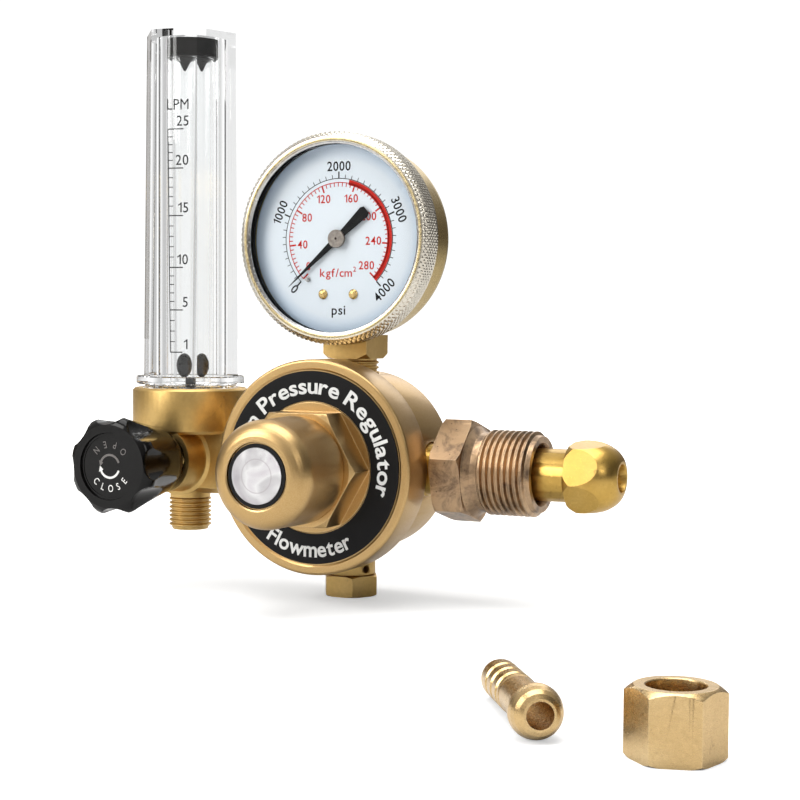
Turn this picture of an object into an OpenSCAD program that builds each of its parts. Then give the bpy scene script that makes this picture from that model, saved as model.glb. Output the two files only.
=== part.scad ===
// Gas regulator with cylinder pressure gauge and flowmeter, as an assembly of separate pieces.
// Frame: origin at the centre of the relief cap's bottom face, +Z up, -Y the front
// (bonnet, gauge and knob faces), +X the cylinder inlet. Millimetres.

/* [Layout] */
// Height of the inlet and bonnet axes above the bottom face
axis_h = 40; // [39.8:0.1:40.2]
// Height of the gauge centre above the bonnet axis
gauge_up = 66; // [65.8:0.1:66.5]
// Distance from the regulator axis to the flowmeter axis
flow_x = 57; // [56.5:0.5:58]

/* [Body and bonnet] */
// Radius of the rear body
body_r = 27; // [26.5:0.5:27.5]
// Radius of the bonnet flange
flange_r = 31; // [30.5:0.5:32]
// Width across flats of the bonnet hexagon
bonnet_af = 32; // [31:0.5:32]
// Radius of the nose cap at its rear
nose_r = 15.4; // [15:0.1:15.8]
// Clearance between a moving shaft and its bore
run_gap = 0.05; // [0.03:0.01:0.08]

/* [Inlet] */
// Outside radius of the inlet thread
inlet_r = 12.26; // [12:0.01:12.5]
// Pitch of the inlet thread
inlet_pitch = 1.814; // [1.6:0.01:1.9]
// Width across flats of the inlet nut
nut_af = 27; // [26.5:0.5:27.5]
// Height of the inlet axis below the bonnet axis
inlet_drop = 1.2; // [0:0.1:1.5]

/* [Gauge] */
// Outside radius of the gauge bezel
bezel_r = 31; // [30.5:0.5:31.5]
// Direction of the pointer at zero pressure, counted from the right
gauge_zero = 221; // [219:1:222]
// Teeth on the pinion
pinion_teeth = 10; // [10:1:10]
// Teeth a full circle of the sector would have
sector_teeth = 80; // [80:1:80]
// Gear module of the movement
gear_m = 0.3; // [0.3:0.05:0.3]

/* [Flowmeter] */
// Radius of the brass cup
cup_r = 17.9; // [17.5:0.1:18]
// Across corners of the clear cover at its foot
cover_ac_low = 31.8; // [31:0.2:32]
// Across corners of the clear cover at its top
cover_ac_high = 29.8; // [29:0.2:31]
// Radius of the float ball
ball_r = 3.75; // [3.5:0.05:3.75]
// Outside radius of the outlet thread
outlet_r = 6.58; // [6.5:0.02:6.6]
// Pitch of the outlet thread
outlet_pitch = 1.337; // [1.3:0.001:1.4]
// Height of the knob and valve axis below the bonnet axis
valve_drop = 0.8; // [0:0.1:1]
// Number of grips on the flow knob
knob_lobes = 8; // [6:1:8]

/* [Accessories] */
// Position of the loose hose nut
nut_pos = [141, -140]; // [-200:1:200]
// Position of the loose hose tail's thick end
barb_pos = [115, -143]; // [-200:1:200]

/* [Hidden] */
$fn = 64;
fit_gap = 0.05;  // clearance between fixed parts, and of threads in their holes
drill_r = 1.5;   // narrow drillings
gauge_y = 2.2;   // upright gauge stem, behind the centre plane

// Thread radii shared with the hole or sleeve of the mating piece
nose_thread_r = 13;
screw_r = 5;
nozzle_r = 5;
plug_r = 9;
nipple_r = 8;
connector_r = 6;
socket_r = 7;
relief_r = 5;
gland_r = 6;
needle_r = 4;
cover_thread_r = 14.8;

SATIN_GOLD = "#c8a56a";
YELLOW_BRASS = "#cfa24a";
PINK_BRASS = "#c79a72";
STEEL = "#b9bcc0";
SPRING_STEEL = "#8f9499";
BLACK = "#1b1b1d";
CLEAR = [0.9, 0.95, 1, 0.35];

// ---- axes: each makes local Z run along the named axis
// Forward (-Y)
module bonnet_axis() translate([0, 0, axis_h]) rotate([90, 0, 0]) children();
module gauge_axis() translate([0, 0, axis_h + gauge_up]) rotate([90, 0, 0]) children();
module valve_axis() translate([-flow_x, 0, axis_h - valve_drop]) rotate([90, 0, 0]) children();
// To the right (+X) and to the left (-X)
module inlet_axis() translate([0, 0, axis_h - inlet_drop]) rotate([0, 90, 0]) children();
module left_axis() translate([0, 0, axis_h]) rotate([0, -90, 0]) children();
// Up; the last runs down
module stem_axis() translate([0, gauge_y, axis_h]) children();
module flow_axis() translate([-flow_x, 0, axis_h]) children();
module down_axis() translate([0, 0, axis_h]) mirror([0, 0, 1]) children();

// ---- shared shapes: "from" and "to" are stations along local Z, profiles are [radius, z]
module cyl(r, from, to) translate([0, 0, from]) cylinder(r = r, h = to - from);
module turned(profile) rotate_extrude() polygon(profile);
module ring(outer_r, inner_r, from, to)
  rotate_extrude() translate([inner_r, from]) square([outer_r - inner_r, to - from]);
module o_ring(mid_r, wire_r) rotate_extrude() translate([mid_r, 0]) circle(r = wire_r, $fn = 24);
module hexbar(flats, from, to, turn = 0)
  rotate([0, 0, turn]) translate([0, 0, from])
    cylinder(r = flats / sqrt(3), h = to - from, $fn = 6);

// Hexagon with its corners turned off at both ends
module hexnut(flats, from, to, turn = 0, chamfer = 0.9) {
  corner_r = flats / sqrt(3);
  rise = chamfer * 0.62;
  intersection() {
    hexbar(flats, from, to, turn);
    turned([[0, from], [corner_r - chamfer, from], [corner_r + 0.05, from + rise],
      [corner_r + 0.05, to - rise], [corner_r - chamfer, to], [0, to]]);
  }
}

// Outside thread as separate ridges with flat crests, centred between its ends
module thread(r, from, to, pitch, depth) {
  ridges = floor((to - from) / pitch);
  start = from + (to - from - ridges * pitch) / 2;
  root_r = r - depth;
  turned(concat(
    [[0, from], [root_r, from]],
    [for (i = [0 : ridges - 1]) each [
      [root_r, start + (i + 0.12) * pitch], [r, start + (i + 0.38) * pitch],
      [r, start + (i + 0.62) * pitch], [root_r, start + (i + 0.88) * pitch]]],
    [[root_r, to], [0, to]]));
}

// Height of a coil's wire centre after a share (0 to 1) of its turns; the end turns lie close
function coil_z(share, turns, from, to, wire_r) =
  let (turn = share * turns, end_rise = 2.3 * wire_r,
    low = from + wire_r + end_rise, high = to - wire_r - end_rise)
  turn < 1 ? from + wire_r + turn * end_rise
  : turn > turns - 1 ? to - wire_r - (turns - turn) * end_rise
  : low + (turn - 1) / (turns - 2) * (high - low);

// Wire coil about Z with closed ends; steps counts the segments in a turn
module coil(mid_r, wire_r, from, to, turns, steps = 12) {
  sides = 6;
  count = turns * steps;
  points = [for (i = [0 : count])
    let (share = i / count, z = coil_z(share, turns, from, to, wire_r))
    for (j = [0 : sides - 1])
      let (around = 360 * j / sides, p = polar(mid_r + wire_r * cos(around), 360 * turns * share))
      [p[0], p[1], z + wire_r * sin(around)]];
  faces = concat(
    [[for (j = [0 : sides - 1]) j]],
    [for (i = [0 : count - 1]) for (j = [0 : sides - 1])
      let (k = (j + 1) % sides, here = i * sides, next = here + sides)
      each [[here + j, next + j, next + k], [here + j, next + k, here + k]]],
    [[for (j = [0 : sides - 1]) count * sides + sides - 1 - j]]);
  polyhedron(points = points, faces = faces, convexity = 10);
}

function polar(r, angle) = [r * cos(angle), r * sin(angle)];
function arc(centre, r, start, end, steps = 8) =
  [for (i = [0 : steps]) centre + polar(r, start + (end - start) * i / steps)];

// ================= regulator =================
spigot_r = 26;        // front of the body, inside the bonnet
body_profile = concat([[0, -15]], arc([body_r - 3.5, -11.5], 3.5, -90, 0),
  [[body_r, 12.7], [spigot_r, 12.7], [spigot_r, 19.4], [0, 19.4]]);
bonnet_profile = concat([[0, 12.8], [flange_r - 0.6, 12.8], [flange_r, 13.4]],
  arc([flange_r - 0.8, 24.5], 0.8, 0, 90),
  [[28.6, 25.3], [28.0, 24.9], [18.8, 24.9], [18.8, 25.3], [0, 25.3]]);
nose_cap_profile = concat(
  [[nose_thread_r + fit_gap, 34.5], [nose_r - 0.3, 34.5], [nose_r, 34.9], [nose_r - 0.3, 47]],
  arc([nose_r - 5.6, 51.1], 5.3, 0, 80, 10),
  [[9.7, 56.4], [9.3, 56.2], [9.1, 55.5], [0, 55.5], [0, 54], [11, 54], [11, 47.5],
   [nose_thread_r + fit_gap, 47.5]]);
plate_profile = [[0, 18.5], [5.5, 18.5], [5.5, 19.35], [2.95, 19.35], [2.95, 20.3], [14.5, 20.3],
  [15.5, 20.9], [15.5, 22.3], [6.6, 22.3], [5.8, 24.6], [0, 24.6]];
diaphragm_profile = [[3.05, 19.45], [18, 19.45], [19, 19.1], [20, 19.45], [25.9, 19.45],
  [25.9, 20.25], [20.2, 20.25], [19, 19.95], [17.8, 20.25], [3.05, 20.25]];
poppet_profile = [[0, -2.6], [2.3, -2.6], [2.3, -0.5], [5.6, -0.5], [5.6, 2.2], [4.2, 3.35],
  [1.0, 3.35], [1.0, 18.45], [0, 18.45]];

module regulator_body() color(SATIN_GOLD) difference() {
  union() {
    bonnet_axis() turned(body_profile, $fn = 96);
    left_axis() cyl(9.2, 14, 32);
    down_axis() cyl(7.4, 14, 28.2);
  }
  // Stepped bore along the bonnet axis
  bonnet_axis() cyl(20, 11.5, 20);
  bonnet_axis() cyl(nozzle_r + fit_gap, 4, 12);
  bonnet_axis() cyl(6, -8, 5);
  bonnet_axis() cyl(plug_r + fit_gap, -16, -8);
  // Right port
  inlet_axis() cyl(nipple_r + fit_gap, 20.4, 31);
  inlet_axis() cyl(3, 0, 21);
  // Left port, with a slanting hole running right and forward from it
  left_axis() cyl(connector_r + fit_gap, 24, 33);
  translate([-24.6, 0, axis_h]) rotate([90, 0, 65]) cylinder(r = 2, h = 22);
  // Top port
  stem_axis() cyl(socket_r + fit_gap, 20, body_r + 2);
  stem_axis() cyl(drill_r, 0, 21);
  // Bottom port, with a slanting hole running up and forward from it
  down_axis() cyl(relief_r + fit_gap, 19.9, 30);
  translate([0, 0, axis_h - 20.5]) rotate([60, 0, 0]) cylinder(r = drill_r, h = 16);
}
module bonnet() color(SATIN_GOLD) difference() {
  corner_r = bonnet_af / sqrt(3);
  union() {
    bonnet_axis() turned(bonnet_profile, $fn = 96);
    bonnet_axis() intersection() {
      hexbar(bonnet_af, 25, 34.4);
      turned([[0, 25], [22, 25], [22, 32], [corner_r + 0.05, 33.4], [corner_r - 1.6, 34.4],
        [0, 34.4]]);
    }
    bonnet_axis() thread(nose_thread_r, 34.3, 47, 1.25, 0.5);
  }
  bonnet_axis() cyl(spigot_r + fit_gap, 12, 21);
  bonnet_axis() cyl(19, 20.9, 23.2);
  bonnet_axis() cyl(12, 23, 44);
  bonnet_axis() cyl(screw_r + run_gap, 43, 48);
}
module bonnet_label() color(BLACK) bonnet_axis() ring(27.7, 19.1, 24.92, 25.3);
module nose_cap() color(SATIN_GOLD) bonnet_axis() turned(nose_cap_profile, $fn = 96);
module nose_label_ring() color(BLACK) bonnet_axis() difference() {
  cyl(8.85, 55.52, 55.95);
  cyl(7.75, 55.7, 56.5);
}
module nose_label() color("#e6e7ea") bonnet_axis() cyl(7.7, 55.72, 56.1);
module adjusting_screw() color(STEEL) bonnet_axis() difference() {
  union() {
    thread(screw_r, 43.4, 51.6, 1, 0.35);
    cyl(3, 42.65, 43.5);
  }
  hexbar(5, 48.4, 52);
}
module spring_button() color(STEEL) bonnet_axis() difference() {
  union() {
    cyl(11.6, 39.6, 42.6);
    cyl(6.4, 37.4, 39.7);
  }
  cyl(2.2, 41.2, 43);
}
module main_spring() color(SPRING_STEEL) bonnet_axis() coil(8.8, 1.3, 22.35, 39.55, 6, steps = 16);
module diaphragm_plate() color(YELLOW_BRASS) bonnet_axis() turned(plate_profile);
module diaphragm() color("#3a3a3d") bonnet_axis() turned(diaphragm_profile);
module slip_ring() color("#d8d9dc") bonnet_axis() ring(25.9, 20.2, 20.27, 20.88);
module valve_nozzle() color(YELLOW_BRASS) bonnet_axis() difference() {
  union() {
    thread(nozzle_r, 5.0, 11.6, 1, 0.35);
    hexnut(12, 11.5, 14.2);
    turned([[0, 5.1], [2.6, 5.1], [2.1, 4.2], [0, 4.2]]);
  }
  cyl(drill_r, 4, 15);
}
module valve_poppet() color(STEEL) bonnet_axis() turned(poppet_profile);
module poppet_spring() color(SPRING_STEEL) bonnet_axis() coil(3.7, 0.45, -7.4, -0.55, 6);
module rear_plug() color(YELLOW_BRASS) bonnet_axis() difference() {
  union() {
    mirror([0, 0, 1]) thread(plug_r, 8.05, 13.6, 1, 0.35);
    cyl(plug_r, -15.2, -13.4);
    cyl(3.2, -8.1, -7.45);
  }
  hexbar(8, -16, -11);
}

// ================= inlet and connector =================
nut_bore_r = 8.4;
dome_profile = concat([[0, 70.1], [9.5, 70.1]],
  [for (i = [0 : 14]) let (t = i * 82.9 / 14) [4.2 + 6.5 * cos(t), 72.5 + 12.1 * sin(t)]],
  [[4.7, 84.6], [0, 84.6]]);

module inlet_filter() color("#8a7350") inlet_axis() difference() {
  cyl(4.95, 22.5, 30);
  cyl(2.2, 22, 28.5);
}
module inlet_nut() color(PINK_BRASS) inlet_axis() difference() {
  union() {
    hexnut(nut_af, 31.8, 41.1, turn = 14, chamfer = 1.1);
    turned([[0, 40], [13.2, 40], [13.2, 41.1], [11.5, 43.2], [11.5, 45.2], [0, 45.2]]);
    thread(inlet_r, 45.1, 60.0, inlet_pitch, 1.05);
    turned([[0, 59.9], [11.2, 59.9], [10.9, 61], [0, 61]]);
  }
  cyl(nut_bore_r, 31, 62);
  turned([[0, 59.6], [nut_bore_r, 59.6], [9.2, 61.1], [0, 61.1]]);
}
module inlet_nipple() color(YELLOW_BRASS) inlet_axis() difference() {
  union() {
    thread(nipple_r, 20.5, 26.6, 1.25, 0.5);
    cyl(7.5, 26.5, 70.6);
    // Domed end, cut to a hexagon at its foot
    intersection() {
      rotate([0, 0, 100]) hexbar(18.5, 70.1, 85);
      turned(dome_profile, $fn = 96);
    }
  }
  cyl(5, 20, 31);
  cyl(3, 30, 80);
  cyl(4, 77, 85);
}
module connector() color(YELLOW_BRASS) left_axis() difference() {
  union() {
    thread(connector_r, 24.5, 32.1, 1, 0.4);
    hexnut(17, 32.05, 36);
    thread(connector_r, 35.9, 43.5, 1, 0.4);
  }
  cyl(3, 24, 44);
}

// ================= pressure gauge =================
gauge_z = axis_h + gauge_up;
neck_r = 5.4;                                   // top of the socket, through the case wall
pinion_r = gear_m * pinion_teeth / 2;           // pitch radii
sector_r = gear_m * sector_teeth / 2;
sector_y = -pinion_r - sector_r;                // sector axis, from the gauge centre
tooth_width = 0.17;                             // share of the tooth pitch
arbor_r = 0.8;
crank_pin = [-5.2, -0.9];                       // from the sector axis
tube_start = -67.5;
tube_sweep = 265;
tube_tip = tube_start + tube_sweep;
tip_pin = [19.2, 0.2];                          // in the frame turned to the tube tip
tip_pin_place = [tip_pin[0] * cos(tube_tip) - tip_pin[1] * sin(tube_tip),
  tip_pin[0] * sin(tube_tip) + tip_pin[1] * cos(tube_tip)];
case_profile = concat([[0, -9]], arc([23.9, -4], 5, -90, 0), [[28.9, 10.3], [27.9, 10.3]],
  arc([23.9, -4], 4, 0, -90), [[0, -8]]);
bezel_profile = [[28.95, 6.6], [bezel_r - 0.4, 6.6], [bezel_r, 7], [bezel_r, 12.6],
  [bezel_r - 0.9, 13.6], [29.4, 14.1], [28.2, 14.1], [27.4, 13.7], [27.4, 13.3], [28.95, 13.3]];
// Pointer outline, [along, across] from its axis
pointer_outline = [[21.4, 0], [3, 0.95], [-3, 1.05], [-11.6, 1.75], [-12.6, 1.2],
  [-12.6, -1.2], [-11.6, -1.75], [-3, -1.05], [3, -0.95]];

module at_dial_screws() for (x = [-5, 5]) translate([x, -16.2, 0]) children();
module at_stop_pin() rotate([0, 0, 229.5]) translate([15.5, 0, 0]) children();

// Four corners of one tooth, counterclockwise
function tooth(pitch_r, count, index) =
  let (step = 360 / count, mid = index * step,
    root_r = pitch_r - 1.15 * gear_m, tip_r = pitch_r + 0.85 * gear_m,
    root = step * tooth_width * 1.05, tip = step * tooth_width * 0.42)
  [polar(root_r, mid - root), polar(tip_r, mid - tip),
   polar(tip_r, mid + tip), polar(root_r, mid + root)];

module gauge_socket() color(YELLOW_BRASS) difference() {
  union() {
    stem_axis() thread(socket_r, 21, 30.9, 1.5, 0.6);
    // Square block with turned corners, hollowed on top to fit the round case
    intersection() {
      translate([-7.2, -5, axis_h + 30.8]) cube([14.4, 14.4, 8.7]);
      stem_axis() turned([[0, 30.8], [8.2, 30.8], [10.4, 32.5], [10.4, 40], [0, 40]]);
      difference() {
        translate([-10, -10, axis_h + 30]) cube([20, 22, 12]);
        gauge_axis() cyl(29.0, -30, 6.5);
      }
    }
    stem_axis() cyl(neck_r, 34, 42);
    translate([-5.4, -0.5, gauge_z - 26.3]) cube([12.4, 6, 6.3]);
  }
  stem_axis() cyl(drill_r, 20, 43);
}
module gauge_case() color("#a5873f") difference() {
  gauge_axis() turned(case_profile, $fn = 96);
  translate([0, gauge_y, gauge_z - 32]) cylinder(r = neck_r + fit_gap, h = 8);
}
module gauge_bezel() color("#d9d6cc") gauge_axis() difference() {
  turned(bezel_profile, $fn = 96);
  // Fine flutes around the rim
  for (i = [0 : 35]) rotate([0, 0, i * 10])
    translate([bezel_r + 0.15, 0, 7.4]) cylinder(r = 0.35, h = 4.8);
}
module gauge_lens() color(CLEAR) gauge_axis() cyl(28.7, 11.6, 13.25);
module lens_gasket() color(BLACK) gauge_axis() ring(28.8, 27.5, 10.35, 11.55);
module gauge_dial() color("#f2f5fa") gauge_axis() difference() {
  cyl(27.8, 8.7, 9.2);
  cyl(1.6, 8, 10);
  at_dial_screws() cyl(0.75, 8, 11);
  at_stop_pin() cyl(0.5, 8, 11);
}
module gauge_pointer() color(BLACK) gauge_axis() rotate([0, 0, gauge_zero]) difference() {
  union() {
    translate([0, 0, 10.05]) linear_extrude(0.35) polygon(pointer_outline);
    cyl(2.6, 10, 11.1);
  }
  cyl(0.62, 9, 10.9);
}
module pointer_shaft() color(YELLOW_BRASS) gauge_axis() union() {
  cyl(arbor_r, -0.4, 9.9);
  cyl(0.6, 9.8, 10.85);
  translate([0, 0, 2.3]) linear_extrude(1.2) polygon(
    [for (i = [0 : pinion_teeth - 1]) each tooth(pinion_r, pinion_teeth, i + 0.25)]);
}
function hairspring_point(i, offset) = polar(0.95 + i * 0.062 + offset, i * 21);
module hairspring() color("#c9b37a") gauge_axis()
  translate([0, 0, 3.7]) linear_extrude(0.35) polygon(concat(
    [for (i = [0 : 60]) hairspring_point(i, 0)],
    [for (i = [60 : -1 : 0]) hairspring_point(i, 0.12)]));
module sector_gear() color(YELLOW_BRASS) gauge_axis() translate([0, sector_y, 0]) difference() {
  union() {
    cyl(arbor_r, -0.4, 5.8);
    // Toothed sector
    translate([0, 0, 2.5]) linear_extrude(0.8) polygon(concat(
      [[2.4, -0.6], [0.4, -2.4], [-1.6, -2.2], [-2.6, 0.8], polar(sector_r * 0.5, 95)],
      [for (i = [21 : -1 : 10], corner = [3 : -1 : 0]) tooth(sector_r, sector_teeth, i)[corner]],
      [polar(sector_r * 0.55, 48)]));
    // Crank arm to the left
    translate([0, 0, 2.5]) linear_extrude(0.8)
      polygon([[-1.8, 1.6], [-6.2, 0.3], [-6.4, -1.4], [-5.4, -2.2], [-0.6, -2.0]]);
    cyl(2.2, 2.4, 3.4);
  }
  translate([crank_pin[0], crank_pin[1], 2]) cylinder(r = 0.45, h = 2);
}
module movement_plates() color(YELLOW_BRASS) gauge_axis() difference() {
  union() {
    translate([-9, -21.5, 0.55]) cube([18, 27.5, 0.75]);
    translate([-9, -19, 4.6]) cube([18, 25, 0.75]);
    for (x = [7.6, -7.6], y = [4.6, -17.6]) translate([x, y, 1]) cylinder(r = 0.9, h = 4);
    at_dial_screws() cyl(1.5, 5.2, 8.65);
  }
  for (y = [0, sector_y]) translate([0, y, 0]) cylinder(r = arbor_r + run_gap, h = 6);
  at_dial_screws() cyl(0.7, 5.6, 9.6);
}
module bourdon_tube() color("#c08a3e") gauge_axis() union() {
  rotate([0, 0, tube_start]) rotate_extrude(angle = tube_sweep) translate([21, -3]) union() {
    translate([-1, -1.6]) square([2, 3.2]);
    for (y = [-1.6, 1.6]) translate([0, y]) circle(r = 1, $fn = 32);
  }
  // Block at the tip, and its pin
  rotate([0, 0, tube_tip]) translate([18.6, -1.2, -5]) cube([3.6, 2.4, 4]);
  rotate([0, 0, tube_tip]) translate([tip_pin[0], tip_pin[1], -1.2]) cylinder(r = 0.45, h = 3.6);
}
module gauge_link() color(STEEL) gauge_axis() {
  crank_end = [0, sector_y] + crank_pin;
  union() {
    translate([0, 0, 1.55]) linear_extrude(0.5) difference() {
      hull() {
        translate(crank_end) circle(r = 1.1);
        translate(tip_pin_place) circle(r = 1.1);
      }
      translate(tip_pin_place) circle(r = 0.55);
    }
    translate([crank_end[0], crank_end[1], 1.6]) cylinder(r = 0.4, h = 2.2);
  }
}
module dial_screws() color(YELLOW_BRASS) gauge_axis() at_dial_screws() difference() {
  union() {
    cyl(0.65, 5.8, 9.3);
    turned([[0, 9.22], [1.45, 9.22], [1.45, 9.5], [1.0, 9.9], [0, 10]]);
  }
  translate([-2, -0.2, 9.65]) cube([4, 0.4, 1]);
}
module stop_pin() color(STEEL) gauge_axis() at_stop_pin() union() {
  cyl(0.45, 8.7, 10.6);
  cyl(0.8, 9.22, 9.5);
}

// ================= relief valve, upright on the origin =================
relief_foot_r = 4.5;  // foot of the body, inside the cap

module relief_body() color(YELLOW_BRASS) difference() {
  union() {
    cyl(relief_foot_r, 3, 6.3);
    turned([[0, 6.25], [7.0, 6.25], [7.3, 6.6], [7.3, 11.75], [0, 11.75]]);
    thread(relief_r, 11.7, 19.8, 1, 0.4);
  }
  cyl(3.3, 2, 17);
  cyl(drill_r, 16, 21);
  // Two opposite side holes
  for (turn = [-24, 156]) rotate([0, 0, turn])
    translate([0, 0, 8.3]) rotate([0, 90, 0]) cylinder(r = 1.15, h = 10);
}
module relief_cap() color(YELLOW_BRASS) difference() {
  hexnut(15, 0, 6.2);
  cyl(relief_foot_r + 0.02, 2.4, 8);
}
module relief_poppet() color(YELLOW_BRASS) difference() {
  cyl(3.25, 12, 16.1);
  cyl(1.4, 11.9, 14.4);
}
module relief_seal() color(BLACK) cyl(3.1, 16.12, 16.95);
module relief_spring() color(SPRING_STEEL) coil(2.45, 0.4, 2.5, 11.9, 7);

// ================= flowmeter =================
stem_r = 2.5;
cup_profile = [[0, 7], [cup_r - 1.0, 7], [cup_r, 8], [cup_r, 20.2], [cup_r - 0.7, 20.9], [0, 20.9]];
stopper_profile = [[0, 118.9], [0.5, 119], [2.6, 121.5], [4.6, 122.75], [8.6, 122.75],
  [8.6, 128.2], [1.6, 128.2], [1.6, 128.65], [0, 128.65]];
knob_profile = [[0, 17.05], [6.6, 17.05], [8.8, 18.15], [9.8, 19.4], [10.7, 22.4], [12.4, 31],
  [14.0, 38.5], [14.6, 40.8], [14.5, 42], [13.6, 43.2], [12.2, 44], [9.9, 44], [9.9, 43.2],
  [0, 43.2]];

module flow_body() color(YELLOW_BRASS) difference() {
  union() {
    flow_axis() turned(cup_profile, $fn = 96);
    // Arm towards the regulator, a round bar with flats
    intersection() {
      left_axis() cyl(12, 36, flow_x + 9);
      translate([-flow_x - 10, -7, axis_h - 12]) cube([32, 14, 20]);
    }
    // Valve barrel and its collar
    valve_axis() cyl(10, -9.5, 16.4);
    valve_axis() turned([[0, 6], [11.6, 6], [11.6, 7], [10.5, 7.5], [10, 8.6], [0, 8.6]]);
    // Outlet pointing down
    flow_axis() cyl(6.3, -13.4, 0);
    flow_axis() mirror([0, 0, 1]) thread(outlet_r, 13.3, 22.7, outlet_pitch, 0.75);
    flow_axis() turned([[0, -22.6], [5.85, -22.6], [5.5, -23.5], [0, -23.5]]);
  }
  flow_axis() cyl(cover_thread_r + fit_gap, 12, 21.5);
  flow_axis() cyl(6.3, 8.9, 13);
  flow_axis() cyl(1.8, 0, 9);
  flow_axis() cyl(3.2, -24, -6);
  valve_axis() cyl(needle_r, -5, 7);
  valve_axis() cyl(gland_r + fit_gap, 6.4, 12);
  valve_axis() cyl(8.4, 11, 17);
  left_axis() cyl(connector_r + fit_gap, 35, 44);
  left_axis() cyl(2.5, 43, flow_x);
}
module tube_cover() color(CLEAR) flow_axis() difference() {
  union() {
    translate([0, 0, 24.5]) rotate([0, 0, 9.6])
      linear_extrude(height = 105.9, scale = cover_ac_high / cover_ac_low)
        circle(r = cover_ac_low / 2, $fn = 6);
    turned([[0, 22.1], [16.5, 22.1], [16.8, 22.4], [16.8, 24.3], [16.5, 24.6], [0, 24.6]],
      $fn = 96);
    thread(cover_thread_r, 13.6, 22.2, 1.5, 0.6);
  }
  cyl(9, 13, 128.7);
}
module metering_tube() color(CLEAR) flow_axis()
  turned([[3.95, 13.05], [6.4, 13.05], [6.4, 122.7], [5.3, 122.7], [3.95, 26]]);
module float_ball() color(BLACK) flow_axis() translate([0, 0, 27.8]) sphere(r = ball_r);
module top_stopper() color(BLACK) flow_axis() turned(stopper_profile);
module bottom_seat() color(BLACK) flow_axis() difference() {
  union() {
    cyl(6.25, 9, 13);
    cyl(1.6, 12.9, 24.0);
  }
  for (i = [0 : 2]) rotate([0, 0, i * 120]) translate([2.75, 0, 8]) cylinder(r = 0.7, h = 6);
}
module cover_o_ring() color(BLACK) flow_axis() translate([0, 0, 12.8]) o_ring(13.3, 0.75);
module tube_o_ring() color(BLACK) flow_axis() translate([0, 0, 14]) o_ring(7.15, 0.7);
module valve_stem() color(STEEL) valve_axis() difference() {
  union() {
    turned([[0, -4.6], [0.4, -4.6], [1.5, -3.4], [2.4, -3.4], [2.4, -2.4], [0, -2.4]]);
    thread(needle_r - run_gap, -2.5, 3.2, 1, 0.4);
    cyl(stem_r, 3.1, 38);
  }
  cyl(1.45, 30, 39);
}
module stem_packing() color("#e9e6dc") valve_axis() ring(5.95, stem_r + run_gap, 7.05, 9.1);
module gland_nut() color(YELLOW_BRASS) valve_axis() difference() {
  union() {
    thread(gland_r, 9.15, 11.1, 1, 0.35);
    hexnut(14, 11.05, 16);
  }
  cyl(stem_r + run_gap, 9, 17);
}
module flow_knob() color(BLACK) valve_axis() difference() {
  turned(knob_profile);
  // Tapered scoops between the grips
  for (i = [0 : knob_lobes - 1]) rotate([0, 0, i * 360 / knob_lobes + 4.5])
    translate([19.7, 0, 44]) rotate([0, 4, 0]) translate([0, 0, -22])
      cylinder(r1 = 6.1, r2 = 7.7, h = 25);
  cyl(stem_r + run_gap, 16, 38.1);
  cyl(4.3, 38, 42.3);
  cyl(9.8, 42.2, 45);
}
module knob_cap() color(BLACK) valve_axis() difference() {
  cyl(9.7, 42.25, 43.3);
  cyl(9.1, 43.1, 44);
}
module knob_screw() color(STEEL) valve_axis() difference() {
  union() {
    cyl(1.4, 31, 38.2);
    cyl(4, 38.15, 40.8);
  }
  translate([-5, -0.5, 40]) cube([10, 1, 2]);
}

// ================= loose hose connection =================
hose_bore_r = 5.75;
barb_dip = 2.028;  // the tail lies on its thick end and its last barb, so its axis dips
barb_profile = [[2.8, 0], [3.3, 0], [4.2, 0.6], [4.9, 1.6], [5.35, 2.9], [5.6, 4.3], [5.6, 5.2],
  [5.25, 6.5], [4.7, 8], [4.2, 9.5], [4.2, 21.2], [4.35, 21.6], [4.35, 22.8], [3.5, 24.0],
  [4.35, 24.9], [4.35, 28.4], [3.5, 29.6], [4.35, 30.5], [4.35, 34.0], [3.5, 35.2],
  [4.35, 36.1], [4.35, 40.5], [4.1, 41.9], [3.5, 42.9], [2.8, 43.3]];

module hose_nut() color(YELLOW_BRASS) translate([nut_pos[0], nut_pos[1], 0]) difference() {
  intersection() {
    hexbar(17, 0, 14, 16);
    turned([[0, 0], [8.9, 0], [9.9, 0.6], [9.9, 12.7], [8.0, 14], [0, 14]]);
  }
  cyl(hose_bore_r, 3, 15);
  // Inside thread as separate grooves
  turned(concat([[5, 3.4]],
    [for (i = [0 : 4]) let (z = i * outlet_pitch)
      each [[5.7, 3.6 + z], [6.6, 4.1 + z], [6.6, 4.4 + z], [5.7, 4.9 + z]]],
    [[5, 10.4]]));
  translate([0, 0, 13.75]) cylinder(r1 = hose_bore_r, r2 = 6.05, h = 0.3);
  cyl(4.45, -1, 4);
}
module hose_barb() color(YELLOW_BRASS) translate([barb_pos[0], barb_pos[1], 5.79])
  rotate([-90 - barb_dip, 0, 33]) turned(barb_profile);

regulator_body();
bonnet();
bonnet_label();
nose_cap();
nose_label_ring();
nose_label();
adjusting_screw();
spring_button();
main_spring();
diaphragm_plate();
diaphragm();
slip_ring();
valve_nozzle();
valve_poppet();
poppet_spring();
rear_plug();
inlet_filter();
inlet_nut();
inlet_nipple();
connector();
gauge_socket();
gauge_case();
gauge_bezel();
gauge_lens();
lens_gasket();
gauge_dial();
gauge_pointer();
pointer_shaft();
hairspring();
sector_gear();
movement_plates();
bourdon_tube();
gauge_link();
dial_screws();
stop_pin();
relief_body();
relief_cap();
relief_poppet();
relief_seal();
relief_spring();
flow_body();
tube_cover();
metering_tube();
float_ball();
top_stopper();
bottom_seat();
cover_o_ring();
tube_o_ring();
valve_stem();
gland_nut();
stem_packing();
flow_knob();
knob_cap();
knob_screw();
hose_nut();
hose_barb();
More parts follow.
